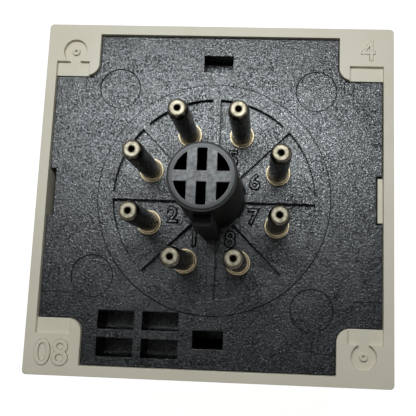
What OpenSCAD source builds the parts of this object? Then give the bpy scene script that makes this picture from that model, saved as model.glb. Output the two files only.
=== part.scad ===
// Plug-in timer relay: square panel case, dial front, eight-pin octal plug base at the rear.
// Millimetres. The part stands on its front bezel: origin at the centre of that rim,
// +Z towards the plug base, the octal post's key towards -Y.

/* [Case] */
// Width of the square body behind the panel
body_w = 44.8; // [44.2:0.1:45.4]
// Length from the front rim to the rear rim
body_len = 52.3; // [50:0.1:60]
// Wall of the body
wall = 1.25; // [1.1:0.05:1.4]
// Radius of the body's long corners
body_corner_r = 0.5; // [0.3:0.1:1]
// Reach of the front flange beyond the body on each side
flange_reach = 1.6; // [1.4:0.1:2.6]
// Thickness of the front flange
flange_t = 6; // [5.5:0.1:7]
// Radius of the flange's corners
flange_corner_r = 1.2; // [0.8:0.1:2]
// Width of the bezel frame round the front panel
bezel_w = 2; // [1.8:0.05:2.2]
// Chamfer on the flange's front and rear edges
flange_chamfer = 0.5; // [0.3:0.1:0.8]
// Depth of the front panel's face below the rim
panel_depth = 3; // [2.8:0.1:3.4]

/* [Rear gussets] */
// Reach of each corner gusset from the body's outer faces
gusset_w = 6.85; // [6.4:0.05:7.2]
// Thickness of the gussets
gusset_t = 2.6; // [2:0.1:3]
// Radius of each gusset's inner corner
gusset_r = 1.6; // [1:0.1:2.2]
// Depth of the moulded marks in the gussets
mark_depth = 0.5; // [0.3:0.05:0.8]
// Length of the rectangular mark along X
mark_l = 4.3; // [3.8:0.1:4.6]
// Width of the rectangular mark along Y
mark_w = 1.85; // [1.5:0.05:2.1]
// Radius of the round gate mark
gate_r = 1.55; // [1.3:0.05:1.7]
// Distance of the gate mark's centre from the body's outer faces
gate_in = 3.6; // [3.4:0.05:3.8]
// Diameter of the gate vestige
gate_vestige_d = 0.95; // [0.7:0.05:1.2]

/* [Plug base] */
// Depth of the base's face below the rear rim
base_recess = 0.55; // [0.4:0.05:0.8]
// Thickness of the base plate
plate_t = 3; // [2.6:0.1:3.4]
// Gap between the base and the case
base_gap = 0.1; // [0.08:0.01:0.15]
// Length of the two side notches
notch_l = 6.1; // [5.6:0.1:6.6]
// Depth of the two side notches
notch_d = 0.85; // [0.7:0.05:1]
// Offset of the side notches from the centre line
notch_y = 0.2; // [0:0.05:0.5]
// Radius of the raised round field
field_r = 14.7; // [14.2:0.05:15]
// Height of the raised round field
field_h = 0.1; // [0.05:0.01:0.2]
// Outer radius of the eight sector recesses
sector_r = 12.76; // [12.4:0.02:13.2]
// Depth of the sector recesses below the round field
sector_depth = 0.7; // [0.5:0.05:0.9]
// Width of the spokes between the sectors
spoke_w = 1; // [0.8:0.05:1.2]
// Length of the inspection windows along X
window_l = 3.75; // [3.4:0.05:4.2]
// Width of the inspection windows along Y
window_w = 2.2; // [2:0.05:2.4]
// Depth of the blind window beside sector five
window_depth = 3; // [2.5:0.1:3.5]
// Distance of the windows' centres from the case wall
window_in = 3.6; // [3.4:0.05:3.8]
// Length of each of the four pockets along X
pocket_l = 4.5; // [4.2:0.05:4.8]
// Width of each of the four pockets along Y
pocket_w = 2.28; // [2:0.02:2.4]
// Rib between the pockets
pocket_rib = 1.03; // [0.9:0.01:1.2]
// Depth of the pockets
pocket_depth = 4.3; // [3.8:0.1:5]
// Distance along X from the gusset's edge to the centre of the group of pockets
pocket_side = 6.88; // [6.6:0.02:7.1]
// Distance of the centre of the group of pockets from the case wall
pocket_in = 3.95; // [3.8:0.05:4.1]
// Radius of the ejector marks
ejector_r = 2.6; // [2.3:0.05:2.8]
// Depth of the ejector and latch marks
ejector_depth = 0.1; // [0.05:0.01:0.15]

/* [Octal post] */
// Height of the post above the rear rim
post_reach = 14.3; // [13:0.1:15]
// Diameter of the post at its root
post_root_d = 7.9; // [7.7:0.05:8.1]
// Diameter of the post at its tip
post_tip_d = 7.3; // [7.1:0.05:7.5]
// Rounding of the post's end
post_edge_r = 0.35; // [0.2:0.05:0.5]
// Wall of the hollow post
post_wall = 0.72; // [0.6:0.02:0.9]
// Width of the two parallel ribs inside the post
post_rib_w = 1.05; // [0.9:0.05:1.2]
// Slot between the two parallel ribs
post_slot_w = 1; // [0.8:0.05:1.2]
// Width of the cross rib inside the post
post_cross_w = 1.15; // [1:0.05:1.3]
// Depth of the hollow from the post's end
post_hollow = 12; // [8:0.5:13]
// Width of the locating key
key_w = 2; // [1.8:0.05:2.2]
// Reach of the key from the post's axis at its root
key_root_r = 5.4; // [5.2:0.05:5.6]
// Reach of the key from the post's axis near its end
key_end_r = 4.95; // [4.8:0.05:5.1]
// Distance from the post's end to the key's end
key_short = 1.7; // [1:0.1:3]

/* [Octal pins] */
// Diameter of the circle of pins
pin_circle_d = 17.45; // [17.2:0.05:17.7]
// Diameter of a pin
pin_d = 2.36; // [2.3:0.02:2.4]
// Length of a pin above the face of the base
pin_reach = 11.6; // [11:0.1:12.2]
// Diameter of a pin's flat end
pin_tip_d = 1.65; // [1.5:0.05:1.8]
// Length of a pin's rounded nose
pin_nose = 0.9; // [0.7:0.05:1.2]
// Diameter of the hole in a pin's end
pin_hole_d = 0.7; // [0.6:0.02:0.8]
// Depth of the hollow in a pin's end, down to the solder
pin_hollow = 4; // [2:0.5:6]
// Wall of the hollow pin
pin_wall = 0.5; // [0.4:0.02:0.55]
// Diameter of the collar at a pin's root
collar_d = 3.05; // [2.95:0.05:3.3]
// Thickness of the collar
collar_t = 0.42; // [0.3:0.02:0.5]
// Diameter of the bead above the collar
bead_d = 2.7; // [2.6:0.02:2.8]
// Thickness of the bead
bead_t = 0.36; // [0.3:0.02:0.5]
// Diameter of the shank in the base
shank_d = 1.9; // [1.8:0.05:2]
// Diameter of the lead wires
wire_d = 0.9; // [0.7:0.05:1]

/* [Front] */
// Thickness of the front panel
panel_t = 1.5; // [1.3:0.1:1.8]
// Gap round the front panel
panel_gap = 0.12; // [0.08:0.01:0.15]
// Diameter of the setting dial
dial_d = 29; // [27:0.5:30]
// Thickness of the setting dial
dial_t = 2; // [1.8:0.1:2.2]
// Gap between the dial and the panel
dial_gap = 0.35; // [0.3:0.01:0.4]
// Diameter of the dial's shaft
dial_shaft_d = 4; // [3.6:0.1:4.4]
// Number of finger grooves round the dial
dial_grooves = 30; // [20:1:36]
// Diameter of a small selector's head
selector_d = 5.6; // [5.2:0.1:6]
// Diameter of a small selector's shaft
selector_shaft_d = 3; // [2.6:0.1:3.2]
// Gap between the selector switches and the case wall
selector_in = 0.55; // [0.4:0.05:0.8]
// Width of the screwdriver slot in a selector
slot_w = 1; // [0.8:0.1:1.2]
// Diameter of the indicator lenses
lens_d = 3.2; // [3:0.1:3.6]
// Radial clearance of each turning shaft
running_gap = 0.05; // [0.03:0.01:0.08]

/* [Boards] */
// Thickness of the circuit boards
board_t = 1.6; // [1.5:0.1:1.7]
// Distance of the two long boards' centres from the case wall
board_in = 3.65; // [3.5:0.05:3.8]
// Depth of the long boards' rear edges below the base's face
board_depth = 10.5; // [10:0.1:12]
// Distance between the front panel and the front board
board_space = 4.5; // [4.4:0.1:5]
// Gap round the boards in their grooves
board_gap = 0.08; // [0.05:0.01:0.1]
// Diameter of the components' leads
lead_d = 0.6; // [0.5:0.05:0.7]
// Gap round a lead in its hole
lead_gap = 0.1; // [0.06:0.01:0.15]
// Length of a lead beyond its board
lead_stub = 1; // [0.6:0.1:1.2]
// Length of a lead beyond the front board
front_stub = 0.4; // [0.3:0.05:0.6]

/* [Components] */
// Length of the output relay
relay_l = 29; // [26:0.5:29.5]
// Width of the output relay
relay_w = 12.7; // [11:0.1:13]
// Height of the output relay above its board
relay_h = 15.7; // [12:0.1:16.5]
// Length of the timer chip
chip_l = 19.3; // [17:0.1:20]
// Width of the timer chip
chip_w = 6.4; // [6:0.1:6.8]
// Height of the timer chip above its board
chip_h = 3.4; // [3:0.1:4]
// Length of the transformer core along the coil
core_l = 14; // [12:0.5:15]
// Width of the transformer core
core_w = 16; // [15:0.5:16.5]
// Thickness of the transformer core
core_t = 4.8; // [4:0.1:5.5]
// Width of the core's outer legs
core_leg = 2.6; // [2.3:0.1:2.8]
// Diameter of the main capacitor
main_cap_d = 10; // [8:0.5:11]
// Height of the main capacitor
main_cap_h = 12; // [10:0.5:13]
// Diameter of the smoothing capacitor
small_cap_d = 6.3; // [5:0.1:7]
// Height of the smoothing capacitor
small_cap_h = 11; // [9:0.5:12]
// Length of the film capacitor
film_cap_l = 13; // [11:0.5:13.5]
// Width of the film capacitor
film_cap_w = 5; // [4:0.5:5.5]
// Height of the film capacitor above its board
film_cap_h = 10; // [8:0.5:11]
// Diameter of the surge suppressor disc
disc_d = 9; // [7:0.5:10]
// Thickness of the surge suppressor disc
disc_t = 3.6; // [3:0.1:4]

/* [Hidden] */
$fn = 48;
cut = 0.01;

// Case levels and widths
flange_w = body_w + 2 * flange_reach;
inner_w = body_w - 2 * wall;
inner_half = inner_w / 2;
panel_seat_z = panel_depth + panel_t;
opening_w = flange_w - 2 * bezel_w;
gusset_edge = body_w / 2 - gusset_w;
gate_at = body_w / 2 - gate_in;

// Base levels
base_z = body_len - base_recess;
plate_z = base_z - plate_t;
field_z = base_z + field_h;
sector_z = field_z - sector_depth;
base_half = inner_half - base_gap;
boss_wall = 0.9;
window_y = inner_half - window_in;
pocket_at = [-(gusset_edge - pocket_side), -(inner_half - pocket_in)];
post_tip_z = body_len + post_reach;

// Shelves, catches and latches that hold the base in the case
shelf_l = 3;
shelf_reach = 0.9;
shelf_t = 2;
catch_l = 2.8;
catch_reach = 0.55;
catch_t = 1.2;
catch_drop = 3.6;
latch_t = 1;
latch_in = 0.55;
latch_y = gusset_edge - catch_l / 2 - latch_in;
shelf_step = 5.6;
shelf_y = latch_y - shelf_step;
latch_len = catch_drop + catch_t + 1.6;

// Boards and the grooves that guide them
groove_rib_w = 1.2;
groove_rib_reach = 1.3;
front_board_z = panel_seat_z + board_space;
long_board_z0 = front_board_z + board_t;
long_board_z1 = base_z - board_depth;
long_board_y = inner_half - board_in;
board_face_y = long_board_y - board_t / 2;
board_half = inner_half - 2 * board_gap;
tongue_w = 4;
tongue_x = 11;
tongue_in = 0.1;
finger_w = 2.4;
finger_in = 1.75;
finger_x = gusset_edge - finger_w / 2 - finger_in;
finger_wall = 1;
finger_bite = 1.4;
peg_d = 1.8;
stem_d = 4;
stem_in = 1.2;
stem_y = 6;
stem_at = [inner_half - stem_d / 2 - stem_in, stem_y];

// Pins
pin_r = pin_circle_d / 2;
pin_tip_z = base_z + pin_reach;
pin_bore_d = pin_d - 2 * pin_wall;
shank_gap = 0.02;
pin_boss_d = shank_d + 2 * boss_wall + 0.6;
pin_boss_z = plate_z - 2.4;
pin_tail_z = pin_boss_z - 0.9;
wire_in_pin = 3;
wire_hole_end = 0.4;
wire_land_z = long_board_z1 - 2.2;
wire_bend_z = pin_tail_z - 1.4;

// Front pieces
dial_z = panel_depth - dial_gap - dial_t;
dial_hub_d = dial_shaft_d + 3;
shaft_flat = 0.5;
pot_size = [13, 13];
pot_t = board_space - 0.9;
pot_z = front_board_z - pot_t;
selector_gap = 0.3;
selector_head_t = 2.2;
selector_head_z = panel_depth + 0.3;
switch_size = [8.4, 8.4];
selector_at = inner_half - selector_in - switch_size.x / 2;
switch_leads = [for (u = [-2.54, 0, 2.54], v = [-3.2, 3.2]) [u, v]];
pot_leads = [[-4, -5], [0, -5], [4, -5], [-5.2, 4], [5.2, 4]];
lens_in = 3.55;
lens_pitch = 5.4;
lens_y = selector_at - 0.6;
switch_z = selector_head_z + selector_head_t + 0.2;
lens_flange_t = 0.5;
led_d = 3;
led_leads = [[-1.27, 0], [1.27, 0]];
led_tip_z = panel_seat_z + lens_flange_t + 0.2;
mode_at = [selector_at, selector_at];
range_at = [-selector_at, -selector_at];
unit_at = [selector_at, -selector_at];
power_lens_at = [lens_in - inner_half, lens_y];
output_lens_at = [power_lens_at.x + lens_pitch, lens_y];

// Rows of components on the long boards, and the gaps between neighbours in a row
wire_clear = 0.9;
upper_row_z = wire_land_z - wire_d / 2 - wire_clear;
stub_clear = 0.3;
lower_row_z = long_board_z0 + front_stub + stub_clear;
close_gap = 0.5;
wide_gap = 1.4;

// Places of the components on the control board, and the places of their leads
relay_size = [relay_l, relay_w, relay_h];
chip_size = [chip_l, chip_w, chip_h];
relay_at = [2.4, upper_row_z - relay_size.y / 2];
relay_leads = [for (u = [-11, 4, 11], v = [-3.8, 3.8]) [u, v]];
lead_pitch = 2.54;
row_half = 3.81;
chip_at = [-0.6, lower_row_z + row_half + lead_d / 2];
chip_leads = [for (i = [-3:3], side = [-1, 1]) [i * lead_pitch, side * row_half]];
timing_cap_size = [7.2, 4.2, 8];
timing_cap_at = [chip_at.x + (chip_size.x + timing_cap_size.x) / 2 + close_gap,
                 lower_row_z + timing_cap_size.y / 2];
timing_cap_leads = [for (side = [-1, 1]) [side * lead_pitch, 0]];
trimmer_size = [6.6, 6.8, 4.4];
trimmer_at = [chip_at.x - (chip_size.x + trimmer_size.x) / 2 - close_gap, lower_row_z + trimmer_size.y / 2];
trimmer_leads = [[-2.5, 2.2], [0, -2.2], [2.5, 2.2]];
transistor_d = 4.6;
transistor_h = 4.6;
transistor_stand = 1.2;
transistor_at = [relay_at.x - (relay_size.x + transistor_d) / 2 - close_gap, relay_at.y];
transistor_leads = [for (i = [-1:1]) [i * lead_pitch / 2, 0]];

// Places of the components on the power board
core_size = [core_l, core_w, core_t];
film_cap_size = [film_cap_l, film_cap_w, film_cap_h];
core_at = [-9.4, upper_row_z - core_size.y / 2];
bobbin_wall = 0.8;
bobbin_gap = 0.1;
coil_reach = 0.5;
window_half = core_size.y / 2 - core_leg;
centre_leg = core_leg * 1.9;
bobbin_l = core_size.x - 2 * core_leg - 2 * bobbin_gap;
bobbin_in = centre_leg + 2 * bobbin_gap;
bobbin_out = bobbin_in + 2 * bobbin_wall;
tube_h = core_size.z + 2 * (bobbin_gap + bobbin_wall);
coil_build = window_half - bobbin_out / 2 - bobbin_gap - coil_reach;
coil_h = tube_h + 2 * coil_build;
core_lift = coil_h / 2 + coil_reach + 0.3;
bobbin_lead_pitch = 4.4;
bobbin_leads = [for (u = [-1, 1], v = [-1:1]) [u * (bobbin_l / 2 - bobbin_wall), v * bobbin_lead_pitch]];
cap_leads = [for (side = [-1, 1]) [0, side * lead_pitch / 2]];
small_cap_at = [core_at.x + (core_size.x + small_cap_d) / 2 + wide_gap, upper_row_z - small_cap_d / 2];
cap_gap = 0.7;
main_cap_at = [small_cap_at.x + (small_cap_d + main_cap_d) / 2 + cap_gap, upper_row_z - main_cap_d / 2];
film_cap_at = [core_at.x - 0.6, lower_row_z + film_cap_size.y / 2];
film_cap_leads = [for (side = [-1, 1]) [side * 2 * lead_pitch, 0]];
disc_at = [film_cap_at.x + (film_cap_size.x + disc_d) / 2 + wide_gap, lower_row_z + disc_t / 2];
disc_stand = 1.2;
disc_leads = [for (side = [-1, 1]) [side * lead_pitch, 0]];
bridge_size = [8.4, 6.2, 3.2];
bridge_gap = 1.2;
bridge_at = [disc_at.x + (disc_d + bridge_size.x) / 2 + bridge_gap, chip_at.y];
bridge_leads = [for (u = [-1, 1], v = [-1, 1]) [u * lead_pitch, v * row_half]];
resistor_d = 3.2;
resistor_l = 6.4;
resistor_span = 9;
resistor_leads = [for (side = [-1, 1]) [side * resistor_span / 2, 0]];
resistor_gap = 1.9;
resistor_side = 0.2;
resistor_at = [disc_at.x + resistor_side, lower_row_z + disc_t + resistor_d / 2 + resistor_gap];
leg_w = 1.1;
leg_t = 0.3;

// Directions of the eight pins, numbered clockwise from the key as seen on the plug side
function pin_angle(n) = -112.5 - 45 * (n - 1);
function pin_place(n) = [pin_r * cos(pin_angle(n)), pin_r * sin(pin_angle(n))];

// Points of an arc of radius r about c, from angle a0 to a1
function arc(c, r, a0, a1, steps) =
    [for (i = [0:steps]) let (a = a0 + (a1 - a0) * i / steps) [c.x + r * cos(a), c.y + r * sin(a)]];

// Flat shapes with rounded corners

module rounded_rect(size, r) {
    square([size.x - 2 * r, size.y], center = true);
    square([size.x, size.y - 2 * r], center = true);
    for (sx = [-1, 1], sy = [-1, 1])
        translate([sx * (size.x / 2 - r), sy * (size.y / 2 - r)])
            circle(r);
}

module rounded_square(w, r) {
    rounded_rect([w, w], r);
}

// Corner block that reaches outwards from [edge, edge], its inner corner rounded
module corner_block(edge, r, reach) {
    translate([edge, edge + r])
        square([reach, reach - r]);
    translate([edge + r, edge])
        square([reach - r, reach]);
    translate([edge + r, edge + r])
        circle(r);
}

module four_corners() {
    for (sx = [0, 1], sy = [0, 1])
        mirror([sx, 0, 0])
            mirror([0, sy, 0])
                children();
}

// Block between two opposite corners
module block(low, high) {
    translate(low)
        cube(high - low);
}

// Case

module flange_edge_cut(z) {
    side = flange_chamfer * sqrt(2);
    for (turn = [0:90:270])
        rotate(turn)
            translate([flange_w / 2, 0, z])
                rotate([0, 45, 0])
                    cube([side, 2 * flange_w, side], center = true);
}

module flange() {
    difference() {
        linear_extrude(flange_t)
            rounded_square(flange_w, flange_corner_r);
        flange_edge_cut(0);
        flange_edge_cut(flange_t);
    }
}

module case_cavity() {
    inner_r = max(body_corner_r - wall / 2, 0.2);
    gusset_z = body_len - gusset_t;
    translate([0, 0, -cut])
        linear_extrude(panel_seat_z + cut)
            rounded_square(opening_w, body_corner_r);
    translate([0, 0, panel_seat_z - cut])
        linear_extrude(gusset_z - panel_seat_z + cut)
            rounded_square(inner_w, inner_r);
    translate([0, 0, gusset_z - cut])
        linear_extrude(gusset_t + 2 * cut)
            difference() {
                rounded_square(inner_w, inner_r);
                four_corners()
                    corner_block(gusset_edge, gusset_r, gusset_w);
            }
}

// Marks moulded into the gussets: one rectangle in each, and a gate mark in two of them
module gusset_marks() {
    floor_z = body_len - mark_depth;
    four_corners()
        translate([inner_half - mark_l, gusset_edge - cut, floor_z])
            cube([mark_l, mark_w + cut, mark_depth + cut]);
    for (turn = [0, 180])
        rotate(turn)
            translate([-gate_at, gate_at, floor_z])
                cylinder(r = gate_r, h = mark_depth + cut);
}

module gate_vestiges() {
    vestige_h = mark_depth * 0.6;
    for (turn = [0, 180])
        rotate(turn)
            translate([-gate_at, gate_at, body_len - mark_depth])
                difference() {
                    cylinder(d = gate_vestige_d, h = vestige_h);
                    cylinder(d = gate_vestige_d * 0.4, h = vestige_h + cut);
                }
}

// Pairs of ribs inside the side walls, a groove for each long board between them
module board_grooves() {
    side = board_t / 2 + board_gap;
    for (sx = [0, 1], y = [-long_board_y, long_board_y], out = [-1, 1])
        mirror([sx, 0, 0])
            translate([inner_half - groove_rib_reach, y + out * side - (out < 0 ? groove_rib_w : 0),
                       long_board_z0])
                cube([groove_rib_reach + wall / 2, groove_rib_w, long_board_z1 - long_board_z0]);
}

module base_shelves() {
    for (sx = [0, 1], sy = [-1, 1])
        mirror([sx, 0, 0])
            block([inner_half - shelf_reach, sy * shelf_y - shelf_l / 2, plate_z - shelf_t],
                  [inner_half + wall / 2, sy * shelf_y + shelf_l / 2, plate_z]);
}

module latch_catches() {
    for (sx = [0, 1], sy = [-1, 1])
        mirror([sx, 0, 0])
            block([inner_half - catch_reach, sy * latch_y - catch_l / 2, plate_z - catch_drop - catch_t],
                  [inner_half + wall / 2, sy * latch_y + catch_l / 2, plate_z - catch_drop]);
}

// Tab that fills the right-hand notch, so that the base fits one way round
module keying_tab() {
    tab_gap = 0.25;
    block([inner_half - notch_d + tab_gap, notch_y - notch_l / 2 + tab_gap, plate_z - shelf_t],
          [inner_half + wall / 2, notch_y + notch_l / 2 - tab_gap, base_z - tab_gap]);
}

module case() {
    color("#cfcabb")
        union() {
            difference() {
                union() {
                    flange();
                    linear_extrude(body_len)
                        rounded_square(body_w, body_corner_r);
                }
                case_cavity();
                gusset_marks();
            }
            gate_vestiges();
            board_grooves();
            base_shelves();
            latch_catches();
            keying_tab();
        }
}

// Plug base

module base_outline() {
    difference() {
        square(2 * base_half, center = true);
        four_corners()
            corner_block(gusset_edge - base_gap, gusset_r + base_gap, gusset_w);
        for (sx = [-1, 1])
            translate([sx * base_half, notch_y])
                square([2 * (notch_d - base_gap), notch_l], center = true);
    }
}

module sector_recesses() {
    translate([0, 0, sector_z])
        linear_extrude(sector_depth + 1)
            difference() {
                circle(sector_r, $fn = 96);
                for (turn = [0:45:135])
                    rotate(turn)
                        square([2 * sector_r + 2, spoke_w], center = true);
            }
}

module pocket_group(grow) {
    for (sx = [-1, 1], sy = [-1, 1])
        translate([pocket_at.x + sx * (pocket_l + pocket_rib) / 2,
                   pocket_at.y + sy * (pocket_w + pocket_rib) / 2])
            square([pocket_l + 2 * grow, pocket_w + 2 * grow], center = true);
}

module window(y) {
    translate([0, y])
        square([window_l, window_w], center = true);
}

module post_body() {
    root_fillet = 0.3;
    tip_r = post_tip_d / 2;
    root_r = post_root_d / 2;
    profile = concat(
        [[0, plate_z + 1], [root_r + root_fillet, plate_z + 1]],
        arc([root_r + root_fillet, sector_z + root_fillet], root_fillet, 270, 180, 4),
        arc([tip_r - post_edge_r, post_tip_z - post_edge_r], post_edge_r, 0, 90, 6),
        [[0, post_tip_z]]
    );
    rotate_extrude($fn = 96)
        polygon(profile);
}

// Hollow of the post, parted by two ribs and one cross rib into six cells
module post_cells() {
    cell_r = post_tip_d / 2 - post_wall;
    translate([0, 0, post_tip_z - post_hollow])
        linear_extrude(post_hollow + cut)
            difference() {
                circle(cell_r);
                for (sx = [-1, 1])
                    translate([sx * (post_slot_w + post_rib_w) / 2, 0])
                        square([post_rib_w, 2 * cell_r + 1], center = true);
                square([2 * cell_r + 1, post_cross_w], center = true);
            }
}

// Locating key on the -Y side of the post
module post_key() {
    end_z = post_tip_z - key_short;
    end_round = 0.9;
    edge_r = 0.4;
    side_profile = concat(
        [[0, sector_z - 0.2], [key_root_r, sector_z - 0.2]],
        arc([key_end_r - end_round, end_z - end_round], end_round, 0, 90, 6),
        [[0, end_z]]
    );
    intersection() {
        rotate([90, 0, -90])
            linear_extrude(key_w, center = true)
                polygon(side_profile);
        linear_extrude(post_tip_z)
            translate([0, -key_root_r / 2])
                rounded_rect([key_w, key_root_r], edge_r);
    }
}

module pin_bosses() {
    for (n = [1:8])
        translate([pin_place(n).x, pin_place(n).y, pin_boss_z])
            cylinder(d = pin_boss_d, h = plate_z - pin_boss_z + 1);
}

module pin_holes() {
    for (n = [1:8])
        translate([pin_place(n).x, pin_place(n).y, pin_boss_z - 1])
            cylinder(d = shank_d + 2 * shank_gap, h = sector_z - pin_boss_z + 2);
}

// Arms under the plate that snap behind the catches in the case
module latches() {
    arm_x = inner_half - catch_reach - base_gap;
    hook_z = plate_z - catch_drop - catch_t - base_gap;
    for (sx = [0, 1], sy = [-1, 1])
        mirror([sx, 0, 0]) {
            block([arm_x - latch_t, sy * latch_y - catch_l / 2, plate_z - latch_len],
                  [arm_x, sy * latch_y + catch_l / 2, plate_z + 1]);
            translate([arm_x, sy * latch_y + catch_l / 2, 0])
                rotate([90, 0, 0])
                    linear_extrude(catch_l)
                        polygon([[-latch_t / 2, hook_z], [catch_reach, hook_z],
                                 [0, plate_z - latch_len], [-latch_t / 2, plate_z - latch_len]]);
        }
}

// Forked fingers under the plate that hold the long boards' rear edges
module board_fingers() {
    fork_w = board_t + 2 * board_gap + 2 * finger_wall;
    for (x = [-finger_x, finger_x], sy = [-1, 1])
        translate([x, sy * long_board_y, 0])
            difference() {
                block([-finger_w / 2, -fork_w / 2, long_board_z1 - finger_bite],
                      [finger_w / 2, fork_w / 2, plate_z + 1]);
                translate([0, 0, long_board_z1 - finger_bite / 2])
                    cube([finger_w + 1, board_t + 2 * board_gap, finger_bite + 2 * board_gap],
                         center = true);
            }
}

// Shallow marks on the face: ejector discs, and pads above the latches
module face_marks() {
    mark_z = base_z - ejector_depth;
    ejectors_in = [[-8.35, 7.05], [8.35, 6.95], [-6.25, -10.8], [8.5, -7.45]];
    pad = [3.6, 3.1];
    small_pad = [1, 1.7];
    pad_x = base_half - pad.x / 2;
    pad_y = gusset_edge - base_gap - pad.y / 2;
    for (p = ejectors_in)
        translate([sign(p.x) * base_half - p.x, sign(p.y) * base_half - p.y, mark_z])
            cylinder(r = ejector_r, h = 1);
    for (p = [[pad_x, pad_y], [pad_x, -pad_y], [-pad_x, -pad_y]])
        translate([p.x, p.y, mark_z + 0.5])
            cube([pad.x + 2 * cut, pad.y + 2 * cut, 1], center = true);
    for (sx = [-1, 1])
        translate([sx * (base_half - pad.x - small_pad.x / 2 - 0.2), pad_y + (pad.y - small_pad.y) / 2,
                   mark_z + 0.5])
            cube([small_pad.x, small_pad.y + 2 * cut, 1], center = true);
}

module plug_base() {
    pocket_floor_z = base_z - pocket_depth;
    blind_floor_z = base_z - window_depth;
    color("#26282b")
        difference() {
            union() {
                translate([0, 0, plate_z])
                    linear_extrude(plate_t)
                        base_outline();
                translate([0, 0, plate_z])
                    cylinder(r = field_r, h = field_z - plate_z, $fn = 96);
                translate([0, 0, pocket_floor_z - boss_wall])
                    linear_extrude(plate_t)
                        pocket_group(boss_wall);
                translate([0, window_y, blind_floor_z - boss_wall + plate_t / 2])
                    cube([window_l + 2 * boss_wall, window_w + 2 * boss_wall, plate_t], center = true);
                pin_bosses();
                latches();
                board_fingers();
            }
            sector_recesses();
            face_marks();
            pin_holes();
            translate([0, 0, pocket_floor_z])
                linear_extrude(pocket_depth + 1)
                    pocket_group(0);
            translate([0, 0, blind_floor_z])
                linear_extrude(window_depth + 1)
                    window(window_y);
            translate([0, 0, plate_z - 1])
                linear_extrude(plate_t + 2)
                    window(-window_y);
        }
    color("#26282b")
        difference() {
            union() {
                post_body();
                post_key();
            }
            post_cells();
        }
}

// Pins and their wires

// Quarter of an ellipse from the side of a pin to its flat end
function nose_curve(r, tip_r, z, h, steps) =
    [for (i = [0:steps]) let (a = 90 * i / steps) [tip_r + (r - tip_r) * cos(a), z - h + h * sin(a)]];

// Half round bead standing out from radius r
function bead_curve(r, out_r, z, h, steps) =
    [for (i = [0:steps]) let (a = 180 * i / steps) [r + (out_r - r) * sin(a), z + h * (1 - cos(a)) / 2]];

module pin(n) {
    hole_r = pin_hole_d / 2;
    bore_r = pin_bore_d / 2;
    throat_z = pin_tip_z - pin_nose - 0.5;
    wire_hole_z = pin_tail_z + wire_in_pin + wire_hole_end;
    solder_z = pin_tip_z - pin_hollow;
    bead_z = sector_z + collar_t;
    profile = concat(
        [[0, wire_hole_z], [bore_r, wire_hole_z]],
        [[bore_r, pin_tail_z], [shank_d / 2, pin_tail_z], [shank_d / 2, sector_z]],
        [[collar_d / 2, sector_z], [collar_d / 2, bead_z]],
        bead_curve(pin_d / 2, bead_d / 2, bead_z, bead_t, 6),
        nose_curve(pin_d / 2, pin_tip_d / 2, pin_tip_z, pin_nose, 5),
        [[hole_r, pin_tip_z], [hole_r, throat_z + 0.5], [bore_r, throat_z]],
        [[bore_r, solder_z], [0, solder_z]]
    );
    color("#b9b2a2")
        translate([pin_place(n).x, pin_place(n).y, 0])
            rotate_extrude()
                polygon(profile);
}

// Wire bent along a list of points, its bends rounded; side is a direction the wire never takes
function unit(v) = v / norm(v);
function bend(a, b, c, r) = [for (t = [0:0.5:1]) b + unit(a - b) * r * pow(1 - t, 2) + unit(c - b) * r * t * t];
function route(points, r) = let (last = len(points) - 1) concat(
    [points[0]],
    [for (i = [1:last - 1]) each bend(points[i - 1], points[i], points[i + 1], r)],
    [points[last]]
);
function heading(path, i) = unit(path[min(i + 1, len(path) - 1)] - path[max(i - 1, 0)]);
function ring(c, t, side, r, faces) =
    let (u = unit(cross(t, side)), v = cross(t, u))
    [for (k = [0:faces - 1]) c + r * (cos(360 * k / faces) * u + sin(360 * k / faces) * v)];

module wire(points, d, side) {
    faces = 8;
    path = route(points, d * 1.2);
    rings = len(path);
    polyhedron(
        points = [for (i = [0:rings - 1]) each ring(path[i], heading(path, i), side, d / 2, faces)],
        faces = concat(
            [[for (k = [0:faces - 1]) k]],
            [for (i = [0:rings - 2], k = [0:faces - 1])
                [i * faces + k, (i + 1) * faces + k,
                 (i + 1) * faces + (k + 1) % faces, i * faces + (k + 1) % faces]],
            [[for (k = [faces - 1:-1:0]) (rings - 1) * faces + k]]
        )
    );
}

// Where the wire of pin n meets the inner face of its board
function wire_landing(n) = let (p = pin_place(n)) [p.x * 1.05, sign(p.y) * board_face_y, wire_land_z];

module lead_wire(n) {
    p = pin_place(n);
    land = wire_landing(n);
    out = sign(land.y);
    wire([
        [p.x, p.y, pin_tail_z + wire_in_pin],
        [p.x, p.y, wire_bend_z],
        [land.x, land.y - out * 1.5, land.z],
        [land.x, land.y + out * (board_t + lead_stub), land.z]
    ], wire_d, [1, 0, 0]);
}

module lead_wires() {
    color("#c9a15a")
        for (n = [1:8])
            lead_wire(n);
}

// Front panel, dial and selectors

module round_holes(places, d) {
    for (p = places)
        translate([p.x, p.y, -cut])
            cylinder(d = d, h = panel_depth + panel_t + 1);
}

module front_panel() {
    panel_w = opening_w - 2 * panel_gap;
    stem_z = front_board_z - panel_seat_z;
    color("#4a4d50")
        union() {
            difference() {
                translate([0, 0, panel_depth])
                    linear_extrude(panel_t)
                        rounded_square(panel_w, body_corner_r);
                round_holes([[0, 0]], dial_hub_d + 2 * selector_gap);
                round_holes([mode_at, range_at, unit_at], selector_d + 2 * selector_gap);
                round_holes([power_lens_at, output_lens_at], lens_d + 2 * running_gap);
            }
            for (sx = [-1, 1], sy = [-1, 1])
                translate([sx * stem_at.x, sy * stem_at.y, panel_seat_z - panel_t / 2]) {
                    cylinder(d = stem_d, h = stem_z + panel_t / 2);
                    cylinder(d = peg_d, h = stem_z + panel_t / 2 + board_t + lead_stub);
                }
        }
}

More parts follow.
